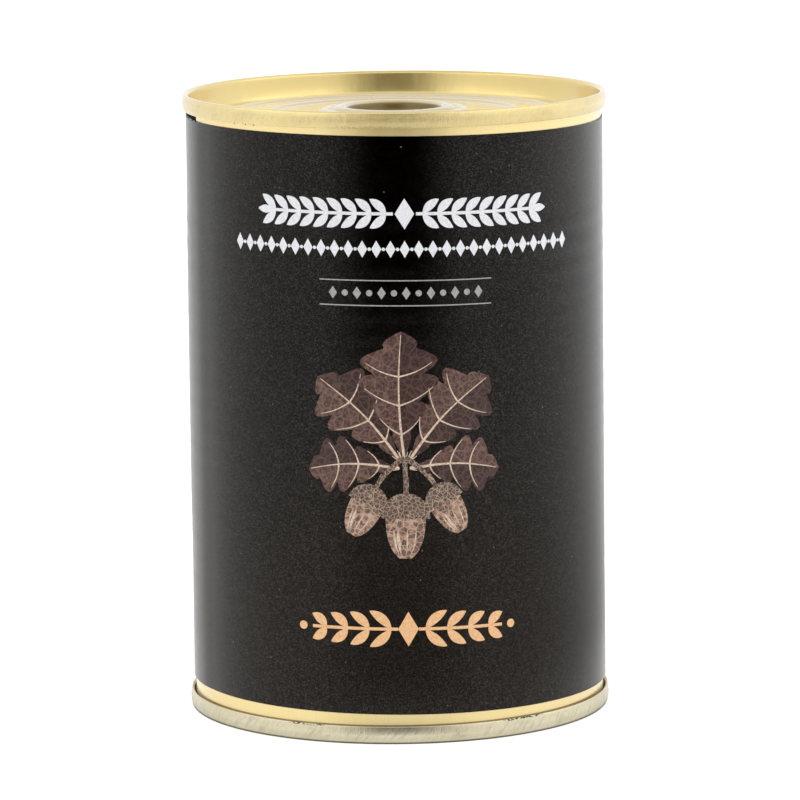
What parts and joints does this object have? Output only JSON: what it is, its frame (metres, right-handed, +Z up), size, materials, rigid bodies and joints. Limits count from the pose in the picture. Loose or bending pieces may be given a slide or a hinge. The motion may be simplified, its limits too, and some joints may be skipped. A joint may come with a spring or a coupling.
{
  "type": "food tin",
  "caption": "Sealed round food tin of truffles in juice: ribbed body, double-seamed gold end with pressed rings at the top, silver end at the bottom, dark wrapped paper label.",
  "frame": {"origin": "centre of the circle that the tin stands on, at the foot of its bottom seam", "axes": "+Z up along the tin's axis of rotation, -Y towards the front of the label, +X to the right seen from the front"},
  "size_m": [0.0764, 0.0764, 0.1118],
  "materials": {
    "gold_lacquered_tinplate": "clear gold lacquer over bright tinplate, fine scratches on the seam",
    "plain_tinplate": "bright tinplate with a faint warm cast, scuffed at the rim",
    "black_label_paper": null,
    "sealing_compound": "matt grey lining compound",
    "truffle_flesh": "dark brown, rough and warty",
    "truffle_juice": "dark brown liquid"
  },
  "bodies": {
    "root": {"can_body": "gold_lacquered_tinplate", "top_end": "gold_lacquered_tinplate", "bottom_end": "plain_tinplate", "paper_label": "black_label_paper", "top_seam_compound": "sealing_compound", "bottom_seam_compound": "sealing_compound", "truffle_1": "truffle_flesh", "truffle_2": "truffle_flesh", "truffle_3": "truffle_flesh", "truffle_4": "truffle_flesh", "truffle_5": "truffle_flesh", "truffle_6": "truffle_flesh", "truffle_7": "truffle_flesh", "truffle_8": "truffle_flesh", "truffle_9": "truffle_flesh", "truffle_juice": "truffle_juice"}
  },
  "joints": []
}
